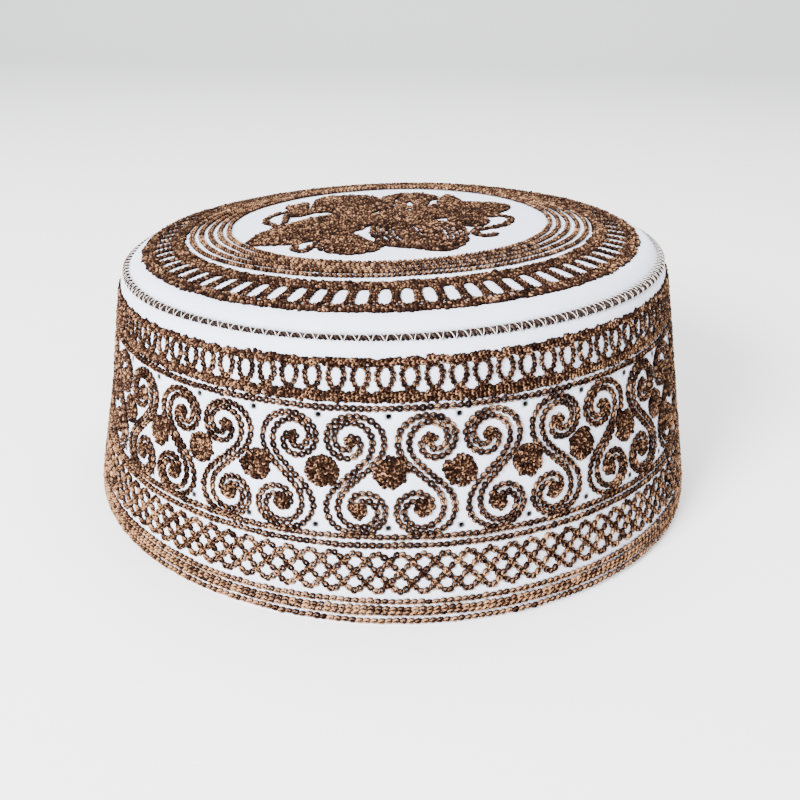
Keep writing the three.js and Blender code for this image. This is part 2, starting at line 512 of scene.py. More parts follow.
# The crown's border and rings are slightly oval. Each has a radius across the cap and one from
# front to back. They are worked a little off the crown's middle, at these places in plan.
RING_MIDDLE = (-1.4 * MM, 0.8 * MM)
EDGE_MIDDLE = (-0.9 * MM, 0.0)
RING_RADII = np.array([(48.7, 47.1), (51.3, 49.1), (54.1, 51.1), (57.0, 53.1), (59.8, 55.6)]) * MM
LADDER_INNER_RADII = np.array([(62.1, 59.5), (63.0, 60.5), (63.8, 61.5), (64.6, 62.5)]) * MM
LADDER_OUTER_RADII = np.array([(72.0, 71.6), (72.9, 72.45), (73.8, 73.3)]) * MM
LOOP_INNER_RADII = np.array([64.2, 62.5]) * MM
LOOP_OUTER_RADII = np.array([71.6, 71.4]) * MM
LOOP_WIDE = 2.3 * MM            # half the width between the middles of a loop's two strands
LOOP_PHASE = 0.77
LOOP_STEPS = 24
LOOP_ENDS = 0.75                # how full a loop's ends and sides are: 1 is an ellipse, less is fuller
LOOP_SIDES = 0.55


def ring(skin, radii, middle, seed=0):
    """An oval ring on the crown."""
    angle = np.linspace(0, FULL_TURN, RING_STEPS + 1)
    off = RING_WANDER * drift(angle, 9, 23, seed)
    x = middle[0] + (radii[0] + off) * np.sin(angle)
    y = middle[1] - (radii[1] + off) * np.cos(angle)
    return crown_line(skin, x, y, closed=True)


def ring_set(skin, radii_list, middle, seed=0):
    return [ring(skin, radii, middle, seed + i) for i, radii in enumerate(radii_list)]


def ring_reach(turn, radii, middle):
    """How far from the crown's middle a ring lies at a turn, for a ring nearly centred on it."""
    centred = radii[0] * radii[1] / math.hypot(radii[1] * math.sin(turn), radii[0] * math.cos(turn))
    return centred + middle[0] * math.sin(turn) - middle[1] * math.cos(turn)


def crown_rings(skin):
    return ring_set(skin, RING_RADII, RING_MIDDLE)


def ladder_edges(skin):
    """The dense rows inside and outside the crown's long loops."""
    inner = ring_set(skin, LADDER_INNER_RADII, RING_MIDDLE, seed=20)
    return inner + ring_set(skin, LADDER_OUTER_RADII, EDGE_MIDDLE, seed=30)


def fuller(wave, power):
    """A sine or cosine with its shape made fuller by a power below 1."""
    return np.sign(wave) * np.abs(wave) ** power


def ladder_loops(skin, counts):
    """Long loops side by side, from the inner rows to the outer rows of the crown's border."""
    angle = np.linspace(0, FULL_TURN, LOOP_STEPS + 1)
    lines = []
    for loop in range(counts.crown_loops):
        turn = (loop + LOOP_PHASE) * FULL_TURN / counts.crown_loops
        low = ring_reach(turn, LOOP_INNER_RADII, RING_MIDDLE)
        high = ring_reach(turn, LOOP_OUTER_RADII, EDGE_MIDDLE)
        middle = (high + low) / 2
        half = (high - low) / 2
        reach = middle - half * fuller(np.cos(angle), LOOP_ENDS)
        across = LOOP_WIDE * fuller(np.sin(angle), LOOP_SIDES)
        lines.append((turn + across / middle, skin.run_at_radius(reach), True))
    return lines


# The leaf rosette, in millimetres in plan from the crown's middle, +y to the back. A leaf has an
# outline, the two ends of its spine, towards which its rows of stitches close in, and the number
# of its outer rows that lie loosely.
LEAVES = {
    "left": (
        ((-41, -24), (-40.5, -17), (-37, -11.5), (-33, -6.5), (-29, -3), (-25, 0.5), (-18, 3.5),
         (-9, 3), (-4, -2), (-6, -10), (-9, -15.5), (-13, -20), (-18, -23.5), (-26, -27), (-35, -26.5)),
        ((-33, -19), (-10, -5)), 0,
    ),
    "front": (
        ((-22, -26), (-17, -22.5), (-12, -20.5), (-9, -23), (-7.5, -27), (-4, -30), (-2.5, -32.5),
         (-4, -36), (-8, -38.5), (-13, -38.5), (-18, -35.5), (-21, -31)),
        ((-15, -28), (-8, -33)), 1,
    ),
    "front_right": (
        ((2, -6.5), (-3, -7), (-5.5, -11.5), (-6.5, -18), (-5.5, -25), (-3, -30.5), (0, -33.5),
         (5, -35), (10, -37), (15, -37.5), (18.5, -34), (21, -28), (21.5, -21), (20, -13.5),
         (16, -9.5), (9, -7)),
        ((6, -13), (9, -28)), 4,
    ),
    "right": (
        ((3, 1), (7, 7.5), (11, 12.5), (16, 16.5), (21, 19), (29, 19.5), (35, 17.5), (37, 13.5),
         (35, 7.5), (32, 3), (31, 0.5), (24, -0.5), (16, -4), (9, -6.5), (3, -5)),
        ((12, 3), (29, 11)), 0,
    ),
    "back": (
        ((4.6, 10), (3.4, 13), (3.4, 17), (5, 21), (4, 34.5), (0, 32.5), (-3, 29), (-5, 24),
         (-5, 16), (-4.5, 7), (0, 5), (3, 6)),
        ((0, 10), (1, 28)), 0,
    ),
    "back_right": (
        ((4.6, 10), (6.1, 13), (6.1, 17), (5, 21), (4, 34.5), (9, 34), (13, 30), (15, 24),
         (11.5, 21), (10.5, 14.5), (7, 7), (5, 8)),
        ((8, 13), (9, 29)), 0,
    ),
    "back_left": (
        ((-26, 8), (-26.5, 16.5), (-26.5, 26), (-25, 32), (-22, 34.5), (-14, 34), (-8, 31),
         (-5.5, 26), (-5, 16.5), (-5, 6), (-9, 3.5), (-17, 3), (-20.5, 7.5)),
        ((-13, 10), (-18, 27)), 0,
    ),
    "left_curl": (
        ((-35.5, 21), (-33, 20), (-31, 24), (-28.5, 24), (-28, 18), (-27.5, 13), (-25, 8.5),
         (-27, 4.5), (-31, 3), (-33.5, 6), (-33, 11.5), (-34.5, 16.5)),
        ((-30, 8), (-31, 19)), 0,
    ),
    "right_curl": (
        ((16, -3), (21, -1.5), (27, -3), (28.5, -6.5), (27, -11.5), (24, -14.5), (19.5, -12.5),
         (17, -8.5)),
        ((20, -6), (25, -8)), 1,
    ),
    "back_curl": (
        ((14, 18), (15.5, 26), (17.5, 32.5), (19, 28), (21, 24), (21.5, 18), (18, 14.5)),
        ((17, 19), (18, 26)), 0,
    ),
    "heart": (
        ((-6, 0), (-3, 5), (3, 6), (8, 2), (8, -5), (1, -7.5), (-4, -5)),
        ((-1, -1), (3, -1)), 0,
    ),
}
# Stems and curls worked in two rows side by side
STEMS = (
    ((-34, 11.5), (-38, 7.5), (-39.5, 2), (-38, -3), (-34, -7.5)),
    ((-33.5, 7), (-33.2, 1), (-32.8, -4)),
    ((28, -2), (32, 0), (35, -2), (35, -6.5), (32.5, -11.5), (28, -15.5), (23.5, -18.5), (23.3, -22),
     (26, -23.5), (29, -22), (29.5, -20)),
    ((-27, -28), (-27, -31.5), (-25, -34), (-22.8, -32.5), (-22.5, -29)),
)


LOOSE_GAP = 1.6                 # distance between loose rows, in rows


def leaf_rows(outline, spine, loose_rows, row_gap):
    """Closed rows that follow a leaf's outline and close in on its spine."""
    edge = smooth_path(outline, closed=True) * MM
    foot, head = np.array(spine, float) * MM
    axis = head - foot
    part = np.clip((edge - foot) @ axis / (axis @ axis), 0, 1)
    root = foot + part[:, None] * axis
    depth = np.median(np.linalg.norm(edge - root, axis=1))
    loose = row_gap * (0.5 + LOOSE_GAP * np.arange(loose_rows))
    start = row_gap * (0.5 + LOOSE_GAP * loose_rows)
    dense = np.arange(start, depth, row_gap)
    return [root + (edge - root) * (1 - far / depth) for far in (*loose, *dense)]


def rosette_lines(skin, row_gap):
    lines = []
    for outline, spine, loose_rows in LEAVES.values():
        for row in leaf_rows(outline, spine, loose_rows, row_gap):
            lines.append(crown_line(skin, *row.T, closed=True))
    for stem in STEMS:
        path = smooth_path(stem) * MM
        along = np.gradient(path, axis=0)
        across = np.column_stack([-along[:, 1], along[:, 0]])
        across /= np.linalg.norm(across, axis=1)[:, None]
        for side in (-0.5, 0.5):
            lines.append(crown_line(skin, *(path + side * row_gap * across).T))
    return lines


# Chain stitches

# An open link's thread has three sides: (out, up) in thicknesses, its share of the painted highlight
# and its ply
OPEN_SECTION = ((0.5, 0.0, 0.2, 0.0), (0.0, 0.8, 1.0, 0.35), (-0.5, 0.0, 0.1, 0.7))
OPEN_POINTS = 8
OPEN_TAPER = 0.75               # power by which it widens from its narrow start
OPEN_HALF_WIDTH = 0.6
OPEN_LIFT = (0.22, 0.2)         # height of its foot in thicknesses, and how far its start rises
OPEN_PAINTED_SHADE = 0.05                # painted shade: its tone where no highlight is painted, on its sides and at the two ends where links meet
OPEN_PAINTED_SHINE = (0.62, 0.3)        # its painted highlight, and how much more its start has
OPEN_PLIES = 4                  # on each of its two sides

# A filled link has a foot, a raised ring along its crest and a dimple in the middle. Half sizes
# are (along, across) in shares of its length and its width. Its crest's and its dimple's heights
# are in thicknesses.
FILL_SIDES = 6
FILL_WIDTH = 1.25               # in gaps between rows
FILL_FOOT = (0.62, 0.74)
FILL_FOOT_HEIGHT = -0.02 * MM
FILL_CREST = (0.38, 0.38)
FILL_CREST_HEIGHT = (0.75, 0.2)
FILL_TAPER = 0.5
FILL_DIMPLE = (0.06, 0.05)      # its place along, and its height
# Tones of the foot, the crest and the dimple, as painted shade and painted highlight: the foot under
# the loop and the dimple inside it are painted dark, and the crest is painted light, most at the link's
# start
FILL_FOOT_PAINTED_SHADE = -0.3
FILL_CREST_PAINTED_SHINE = (0.42, 0.34)
FILL_DIMPLE_PAINTED_SHADE = -0.5
FILL_PLY = (0.6, 0.4, 0.5)      # ply along the foot, the crest's step from it, and the dimple's

# Stitches curve less than their line, and sink a little into the cloth
CHORD_SHARE = 0.7
CURVE_SHARE = 0.3
SINK_SHARE = 0.4                # of the pucker

# How far links vary at random, in shares of the unevenness
VARY_SKEW = 0.6
VARY_ASIDE = 0.4                # in millimetres
VARY_WIDTH = 0.6
VARY_HEIGHT = 0.5
VARY_TONE = 0.3
# The same for all links
SPREAD_LIFT = 0.03 * MM
SPREAD_TONE = 0.1


class Link:
    """The shape of one link, along +x on the plane z = 0, with its painted shade and highlight, as a
    tone, and its ply at each point.
    """

    def __init__(self, pitch, shape, faces, tone, ply):
        self.pitch = pitch
        self.shape = shape
        self.faces = outward(shape, faces)
        self.tone = tone
        self.ply = ply


def open_link(sizes, pitch, bold=1.0):
    """A teardrop loop of thread that starts narrow, raised on the link before, and ends wide."""
    out, up, painted_shine_by_side, wound = np.array(OPEN_SECTION).T
    sides = len(out)
    thread = bold * sizes.thread
    t = np.arange(OPEN_POINTS) * FULL_TURN / OPEN_POINTS
    reach = np.abs(np.sin(t / 2)) ** OPEN_TAPER
    length_now = pitch * (1 + 2 * sizes.overlap) - thread
    width_now = bold * sizes.width - thread
    half_width = OPEN_HALF_WIDTH * np.sin(t) * reach * width_now
    path = np.column_stack([-0.5 * np.cos(t) * length_now, half_width])
    along = np.roll(path, -1, axis=0) - np.roll(path, 1, axis=0)
    away = np.column_stack([along[:, 1], -along[:, 0]])
    away /= np.linalg.norm(away, axis=1)[:, None]
    away *= np.where((away * path).sum(axis=1) < 0, -1, 1)[:, None]
    base = thread * (OPEN_LIFT[0] + OPEN_LIFT[1] * np.cos(t))
    rows = []
    for side, height in zip(out, up):
        flat = path + side * thread * away
        rows.append(np.column_stack([flat, base + height * thread]))
    shape = np.stack(rows, axis=1).reshape(-1, 3)
    # Painted highlight and painted shade: the top of each side strand is painted light, most towards
    # the link's start, while its sides and the two ends where links meet stay dark
    painted_shine_along = np.abs(np.sin(t)) * (OPEN_PAINTED_SHINE[0] + OPEN_PAINTED_SHINE[1] * np.cos(t))
    tone = (OPEN_PAINTED_SHADE + painted_shine_along[:, None] * painted_shine_by_side).ravel()
    passed = np.abs(np.mod(t / math.pi + 1, 2) - 1) * OPEN_PLIES
    ply = np.repeat(passed, sides) + np.tile(wound, OPEN_POINTS)
    faces = grid_faces(OPEN_POINTS, sides, close_rows=True, close_columns=True)
    return Link(pitch, shape, faces, tone, ply)


def filled_link(sizes):
    """A closed link for filled areas: a loop with a dimple, broad enough to hide the cloth."""
    sides = FILL_SIDES
    t = np.arange(sides) * FULL_TURN / sides
    length_now = sizes.fill_pitch * (1 + 2 * sizes.overlap)
    width_now = FILL_WIDTH * sizes.row_gap
    foot = np.column_stack([
        -FILL_FOOT[0] * length_now * np.cos(t),
        FILL_FOOT[1] * width_now * np.sin(t),
        np.full(sides, FILL_FOOT_HEIGHT),
    ])
    reach = np.abs(np.sin(t / 2)) ** FILL_TAPER
    crest = np.column_stack([
        -FILL_CREST[0] * length_now * np.cos(t),
        FILL_CREST[1] * width_now * np.sin(t) * reach,
        sizes.thread * (FILL_CREST_HEIGHT[0] + FILL_CREST_HEIGHT[1] * np.cos(t)),
    ])
    dimple = np.array([[FILL_DIMPLE[0] * length_now, 0.0, sizes.thread * FILL_DIMPLE[1]]])
    shape = np.vstack([foot, crest, dimple])
    i = np.arange(sides)
    after = (i + 1) % sides
    walls = np.stack([i, after, after + sides, i + sides], axis=1)
    halves = np.vstack([walls[:, [0, 1, 2]], walls[:, [0, 2, 3]]])
    bowl = np.stack([i + sides, after + sides, np.full(sides, 2 * sides)], axis=1)
    under = np.stack([np.zeros(sides - 2, int), i[2:], i[1:-1]], axis=1)
    faces = np.vstack([halves, bowl, under])
    # painted highlight along the crest, lightest at the start; painted shade at the foot and in the
    # dimple
    painted_crest_shine = FILL_CREST_PAINTED_SHINE[0] + FILL_CREST_PAINTED_SHINE[1] * np.cos(t)
    tone = np.concatenate([np.full(sides, FILL_FOOT_PAINTED_SHADE), painted_crest_shine, [FILL_DIMPLE_PAINTED_SHADE]])
    wound = t * FILL_PLY[0]
    ply = np.concatenate([wound, wound + FILL_PLY[1], [FILL_PLY[2]]])
    return Link(sizes.fill_pitch, shape, faces, tone, ply)


def link_places(skin, line, pitch, overlap, sink, stagger):
    """Middle, reach and upward direction of each link along one line of stitches."""
    turn, run, closed = line
    floor = skin.place(turn, run, -sink)
    above = skin.place(turn, run, MM - sink)
    passed = np.concatenate([[0], np.cumsum(np.linalg.norm(np.diff(floor, axis=0), axis=1))])
    total = passed[-1]
    count = max(1, round(total / pitch))
    step = total / count
    start = (np.arange(count) + (stagger if closed else 0)) * step

    def at(distance, points):
        where = np.mod(distance, total) if closed else np.clip(distance, 0, total)
        return np.stack([np.interp(where, passed, points[:, i]) for i in range(3)], axis=1)

    first = at(start - overlap * step, floor)
    last = at(start + (1 + overlap) * step, floor)
    middle = start + 0.5 * step
    up = at(middle, above) - at(middle, floor)
    centre = CHORD_SHARE * (first + last) / 2 + CURVE_SHARE * at(middle, floor)
    return centre, last - first, up


def stitch(name, skin, lines, link, sizes, seed, vary, painted_light=0.0):
    """One piece of embroidery: a link stamped along every line. Its last argument is painted light,
    which makes all its thread lighter where more light falls on that part of the cap, and darker below
    0.
    """
    rng = np.random.default_rng(seed)
    sink = SINK_SHARE * skin.form.pucker
    places = [link_places(skin, line, link.pitch, sizes.overlap, sink, rng.random()) for line in lines]
    middle, along, up = (np.concatenate(part) for part in zip(*places))
    reach = np.linalg.norm(along, axis=1)[:, None]
    along /= reach
    up /= np.linalg.norm(up, axis=1)[:, None]
    across = np.cross(up, along)
    across /= np.linalg.norm(across, axis=1)[:, None]
    count = len(middle)
    skew = rng.normal(0, vary * VARY_SKEW, (count, 1))
    along, across = along + skew * across, across - skew * along
    middle = middle + across * rng.normal(0, vary * VARY_ASIDE * MM, (count, 1))
    middle = middle + up * rng.normal(0, SPREAD_LIFT, (count, 1))
    stretch = reach / (link.pitch * (1 + 2 * sizes.overlap))
    wide = 1 + rng.normal(0, vary * VARY_WIDTH, (count, 1))
    tall = 1 + rng.normal(0, vary * VARY_HEIGHT, (count, 1))
    points = (
        middle[:, None]
        + along[:, None] * (link.shape[None, :, 0:1] * stretch[:, None])
        + across[:, None] * (link.shape[None, :, 1:2] * wide[:, None])
        + up[:, None] * (link.shape[None, :, 2:3] * tall[:, None])
    )
    # each link's own tone varies at random about the piece's painted light
    own_tone = rng.normal(painted_light, SPREAD_TONE + VARY_TONE * vary, (count, 1))
    numbers = np.arange(count)[:, None, None] * len(link.shape)
    faces = (link.faces[None] + numbers).reshape(-1, link.faces.shape[1])
    values = {
        # the link's painted shade and highlights, added to each link's own tone
        "tone": np.clip(link.tone[None] + own_tone, 0, 1).ravel(),
        "ply": (link.ply[None] + rng.uniform(0, 1, (count, 1))).ravel(),
    }
    return add_piece(name, brown_thread(), points.reshape(-1, 3), [faces], values)


# Materials


def new_material(name):
    """A material by name, with word of whether it still has to be made."""
    made = name not in bpy.data.materials
    material = bpy.data.materials[name] if not made else bpy.data.materials.new(name)
    material.use_nodes = True
    return material, made


class Nodes:
    """Adds nodes to a material and joins them up."""

    def __init__(self, material):
        self.tree = material.node_tree
        self.shader = self.tree.nodes["Principled BSDF"]

    def add(self, kind, inputs=None, **settings):
        node = self.tree.nodes.new(kind)
        for key, value in settings.items():
            setattr(node, key, value)
        for key, value in (inputs or {}).items():
            if isinstance(value, bpy.types.NodeSocket):
                self.tree.links.new(value, node.inputs[key])
            else:
                node.inputs[key].default_value = value
        return node

    def math(self, operation, first, second=0.0):
        return self.add("ShaderNodeMath", {0: first, 1: second}, operation=operation).outputs[0]

    def number(self, name):
        return self.add("ShaderNodeAttribute", attribute_name=name).outputs["Fac"]

    def noise(self, scale, detail=2.0):
        inputs = {"Scale": scale, "Detail": detail, "Vector": self.place()}
        return self.add("ShaderNodeTexNoise", inputs).outputs["Fac"]

    def place(self):
        return self.add("ShaderNodeTexCoord").outputs["Object"]

    def ramp(self, factor, *stops):
        node = self.add("ShaderNodeValToRGB", {"Fac": factor})
        elements = node.color_ramp.elements
        while len(elements) < len(stops):
            elements.new(0.5)
        for element, (position, colour) in zip(elements, stops):
            element.position = position
            element.color = (*colour, 1)
        return node.outputs["Color"]

    def bump(self, height, distance, strength=1.0, normal=None):
        inputs = {"Height": height, "Distance": distance, "Strength": strength}
        if normal:
            inputs["Normal"] = normal
        return self.add("ShaderNodeBump", inputs).outputs["Normal"]

    def set(self, **values):
        for key, value in values.items():
            socket = self.shader.inputs[key.replace("_", " ")]
            if isinstance(value, bpy.types.NodeSocket):
                self.tree.links.new(value, socket)
            else:
                socket.default_value = value


# Noise in the threads' and the cloth's colours and relief, as (scale, how much it counts)
DYE_PATCHES = (90.0, 0.25)
DYE_FIBRES = (2600.0, 0.9)
DYE_MIDDLE = 0.6
SLUBS = 140.0
FUZZ = 900.0
SEWING_FLECKS = 1500.0
WEAVE_PITCH = 0.45 * MM
PALE_COTTON = 1.04              # shares of the cotton's colour
DULL_COTTON = 0.94
DULL_SEWING = 0.75
# painted shade: the near-black colour of the eyelets' walls and edges, standing in for the shade inside
# the holes
PAINTED_HOLE_SHADE = (0.02, 0.018, 0.016, 1)


def twisted_thread(name, dark, middle, light):
    """Twisted thread, nearly matt, with painted highlights and painted shade on each link and strand,
    and its tone varying at random from link to link.
    """
    material, made = new_material(name)
    if not made:
        return material
    nodes = Nodes(material)
    patches = nodes.math("MULTIPLY", nodes.noise(DYE_PATCHES[0]), DYE_PATCHES[1])
    fibres = nodes.math("MULTIPLY", nodes.noise(DYE_FIBRES[0]), DYE_FIBRES[1])
    uneven_dye = nodes.math("SUBTRACT", nodes.math("ADD", patches, fibres), DYE_MIDDLE)
    painted_shade_and_dye = nodes.math("ADD", nodes.number("tone"), uneven_dye)
    # The ramp lays the dark colour on painted shade and the light colour on painted highlights, both
    # carried in the tone attribute along with the random tone and the dye noise
    colour = nodes.ramp(painted_shade_and_dye, (0.1, dark), (0.5, middle), (1.0, light))
    twist = nodes.math("SINE", nodes.math("MULTIPLY", nodes.number("ply"), FULL_TURN))
    plies = nodes.bump(twist, distance=0.05 * MM, strength=0.7)
    nodes.set(Base_Color=colour, Normal=plies, Roughness=0.5)
    nodes.set(Specular_IOR_Level=0.05, Specular_Tint=(1.0, 0.62, 0.42, 1))
    return material


def brown_thread():
    """The brown thread of the embroidery."""
    colours = bpy.context.scene.cap_colours
    return twisted_thread(
        "brown thread", colours.thread_dark, colours.thread_middle, colours.thread_light)


def cord_thread():
    """The greyer brown of the cord in the seam."""
    colours = bpy.context.scene.cap_colours
    tones = (colours.cord_dark, colours.cord_middle, colours.cord_light)
    return twisted_thread("seam cord thread", *tones)


def woven(nodes, first, second):
    """Two crossing sets of threads from two numbers that count them."""
    warp = nodes.math("SINE", nodes.math("MULTIPLY", first, FULL_TURN))
    weft = nodes.math("SINE", nodes.math("MULTIPLY", second, FULL_TURN))
    return nodes.math("MULTIPLY", warp, weft)


def cotton(name, on_band):
    """Matt white cotton: a fine plain weave with faint slubs."""
    material, made = new_material(name)
    if not made:
        return material
    colours = bpy.context.scene.cap_colours
    nodes = Nodes(material)
    x, y, z = nodes.add("ShaderNodeSeparateXYZ", {"Vector": nodes.place()}).outputs
    if on_band:
        threads = round(math.pi * bpy.context.scene.cap_form.rim_diameter / WEAVE_PITCH)
        angle = nodes.math("ARCTAN2", y, x)
        first = nodes.math("MULTIPLY", angle, threads / FULL_TURN)
        second = nodes.math("MULTIPLY", z, 1 / WEAVE_PITCH)
    else:
        first = nodes.math("MULTIPLY", x, 1 / WEAVE_PITCH)
        second = nodes.math("MULTIPLY", y, 1 / WEAVE_PITCH)
    weave = woven(nodes, first, second)
    pale = tuple(min(1.0, PALE_COTTON * c) for c in colours.cotton)
    dull = tuple(DULL_COTTON * c for c in colours.cotton)
    colour = nodes.ramp(nodes.noise(SLUBS, detail=4.0), (0.3, dull), (0.7, pale))
    # Painted shade on the band: the hole mask paints the eyelets' walls and the cloth right round them
    # nearly black
    if on_band:
        hole_shade_mask = nodes.math("POWER", nodes.number("hole"), 3.0)
        inputs = {0: hole_shade_mask, 6: colour, 7: PAINTED_HOLE_SHADE}
        colour = nodes.add("ShaderNodeMix", inputs, data_type="RGBA").outputs[2]
    fine = nodes.bump(weave, distance=0.04 * MM, strength=0.6)
    fuzzy = nodes.bump(nodes.noise(FUZZ), distance=0.08 * MM, strength=0.5, normal=fine)
    nodes.set(Base_Color=colour, Normal=fuzzy)
    nodes.set(Roughness=0.92, Sheen_Weight=0.15, Sheen_Roughness=0.5)
    return material


def white_thread():
    """Thin off-white sewing thread."""
    material, made = new_material("white thread")
    if not made:
        return material
    colours = bpy.context.scene.cap_colours
    nodes = Nodes(material)
    dull = tuple(DULL_SEWING * c for c in colours.white_thread)
    colour = nodes.ramp(nodes.noise(SEWING_FLECKS), (0.3, dull), (0.6, colours.white_thread))
    nodes.set(Base_Color=colour, Roughness=0.6, Sheen_Weight=0.1)
    return material


# The operators build the cap piece by piece


def parts():
    """The skin and the settings of the scene, as every piece needs them."""
    scene = bpy.context.scene
    return Skin(scene.cap_form), scene.stitch_sizes, scene.pattern_counts


def all_lines(skin, sizes, counts):
    """Every line of stitches on the cap."""
    groups = (
        rim_lines(skin), lattice_lines(skin, counts), scroll_lines(skin, counts),
        disc_lines(skin, counts, sizes.row_gap), border_line(skin), border_edges(skin, counts),
        oval_lines(skin, counts), crown_rings(skin), ladder_edges(skin),
        ladder_loops(skin, counts), rosette_lines(skin, sizes.row_gap),
    )
    return [line for group in groups for line in group]


def stitch_tree(skin, sizes, counts):
    """A tree of the places that stitches hold down."""
    places = np.concatenate([skin.place(turn, run) for turn, run, _ in all_lines(skin, sizes, counts)])
    tree = KDTree(len(places))
    for i, place in enumerate(places):
        tree.insert(place, i)
    tree.balance()
    return tree


PUCKER_REACH = 1.5 * MM


def drawn_in(skin, tree, turn, run):
    """How deep the stitches draw the cloth in at each place."""
    places = skin.place(turn, run)
    distance = np.array([tree.find(place)[2] for place in places.reshape(-1, 3)])
    return skin.form.pucker * np.exp(-(distance / PUCKER_REACH) ** 2).reshape(places.shape[:-1])


class CAP_OT_band_cloth(bpy.types.Operator):
    """Builds the side band's cloth, pierced with eyelets"""

    bl_idname = "cap.band_cloth"
    bl_label = "Band cloth"

    COLUMNS_PER_GAP = 16
    CELL = 0.95 * MM                # one of the three cells about an eyelet
    CELL_EDGES = (-1.5, -0.5, 0.5, 1.5)
    OUTER_SPACING = 1.4 * MM
    INNER_SPACING = 6.0 * MM
    HEM_HEIGHT = 0.4                # height of the rim's rounding, in walls
    HEM_POINTS = 5
    SEAM_GAP = 0.2 * MM
    TOP_DEPTHS = (0.4, 0.8)         # in walls, at the top edge
    HOLE_DIP = 0.15 * MM            # how far an eyelet's outer edge is drawn in
    HOLE_RISE = 0.05 * MM           # the same for its inner edge

    def rows(self, skin, spacing):
        """Runs of the rows of one side, with three even cells about each row of eyelets."""
        start = skin.form.wall * self.HEM_HEIGHT
        anchors = [start]
        for height in EYELET_HEIGHTS:
            run = skin.run_at_height(height)
            anchors += [run + cells * self.CELL for cells in self.CELL_EDGES]
        anchors.append(skin.seam_run - self.SEAM_GAP)
        runs, blocks = [], []
        for i, (low, high) in enumerate(zip(anchors, anchors[1:])):
            if i % len(self.CELL_EDGES) == 1:
                blocks.append(len(runs))
            steps = max(1, round((high - low) / spacing))
            runs += list(low + (high - low) * np.arange(steps) / steps)
        return np.array(runs + [anchors[-1]]), blocks

    def execute(self, context):
        skin, sizes, counts = parts()
        wall = skin.form.wall
        outer, outer_blocks = self.rows(skin, self.OUTER_SPACING)
        inner, inner_blocks = self.rows(skin, self.INNER_SPACING)
        columns = self.COLUMNS_PER_GAP * counts.scrolls
        turn = (np.arange(columns) + 0.5) * FULL_TURN / columns
        angle = np.linspace(0, math.pi, self.HEM_POINTS + 2)[1:-1]
        hem_run = wall * self.HEM_HEIGHT * (1 - np.sin(angle))
        hem_lift = -wall / 2 + wall / 2 * -np.cos(angle)
        top_run = np.full(len(self.TOP_DEPTHS), skin.seam_run)
        top_lift = [-depth * wall for depth in self.TOP_DEPTHS]
        runs = np.concatenate([outer, top_run, inner[::-1], hem_run])
        lifts = np.concatenate([np.zeros(len(outer)), top_lift, np.full(len(inner), -wall), hem_lift])
        grid_turn, grid_run = np.meshgrid(turn, runs)
        lift = np.repeat(lifts[:, None], columns, axis=1)
        tree = stitch_tree(skin, sizes, counts)
        rows = len(outer)
        lift[:rows] -= drawn_in(skin, tree, grid_turn[:rows], grid_run[:rows])
        points = skin.place(grid_turn, grid_run, lift).reshape(-1, 3)
        faces = grid_faces(len(runs), columns, close_rows=True, close_columns=True)
        last = rows + len(top_run) + len(inner) - 1
        pairs = [(low, last - high - 3) for low, high in zip(outer_blocks, inner_blocks)]
        points, groups, holes = self.pierce(skin, points, faces, pairs, columns, runs, turn, counts)
        add_piece("band_cloth", cotton("band cotton", True), points, groups,
                  {"hole": holes}, ("side_band",))
        return {"FINISHED"}

    def pierce(self, skin, points, faces, pairs, columns, runs, turn, counts):
        """Cuts the eyelets: each takes out a block of three cells by three on both sides."""
        # the twelve corners round a block, from its lower left
        across = [0, 1, 2, 3, 3, 3, 3, 2, 1, 0, 0, 0]
        up = [0, 0, 0, 0, 1, 2, 3, 3, 3, 3, 2, 1]
        radius = skin.form.eyelet_diameter / 2
        cut = np.zeros((len(runs), columns), bool)
        extra, quads = [], []
        count = len(points)
        for outer_row, inner_row in pairs:
            for gap in range(counts.scrolls):
                column = self.COLUMNS_PER_GAP * gap - 2
                middle_turn = gap * FULL_TURN / counts.scrolls
                rings = []
                inner_lift = self.HOLE_RISE - skin.form.wall
                for row, lift in ((outer_row, -self.HOLE_DIP), (inner_row, inner_lift)):
                    columns_here = (column + np.array(across)) % columns
                    rows_here = row + np.array(up)
                    edge = rows_here * columns + columns_here
                    for r in range(3):
                        for c in range(3):
                            cut[row + r, (column + c) % columns] = True
                    middle_run = (runs[row + 1] + runs[row + 2]) / 2
                    at_run = skin.radius_at(middle_run)
                    side = np.mod(turn[columns_here] - middle_turn + math.pi, FULL_TURN) - math.pi
                    angle = np.arctan2(runs[rows_here] - middle_run, side * at_run)
                    place = skin.place(
                        middle_turn + radius * np.cos(angle) / at_run,
                        middle_run + radius * np.sin(angle), lift)
                    ring = count + np.arange(len(across))
                    count += len(across)
                    extra.append(place)
                    beside = np.roll(edge, -1), np.roll(ring, -1)
                    quads.append(np.stack([edge, beside[0], beside[1], ring], axis=1))
                    rings.append((ring, angle))
                (first, first_angle), (second, second_angle) = rings
                between = np.abs(np.exp(1j * first_angle)[:, None] - np.exp(1j * second_angle)[None])
                matched = second[between.argmin(axis=1)]
                corners = [first, np.roll(first, -1), np.roll(matched, -1), matched]
                quads.append(np.stack(corners, axis=1))
        faces = np.vstack([faces[~cut.ravel()], *quads])
        # the eyelets' ring points carry the mask for the painted shade in the holes
        holes = np.concatenate([np.zeros(len(points)), np.ones(count - len(points))])
        points = np.vstack([points, *extra])
        used, numbered = np.unique(faces, return_inverse=True)
        return points[used], [numbered.reshape(-1, 4)], holes[used]


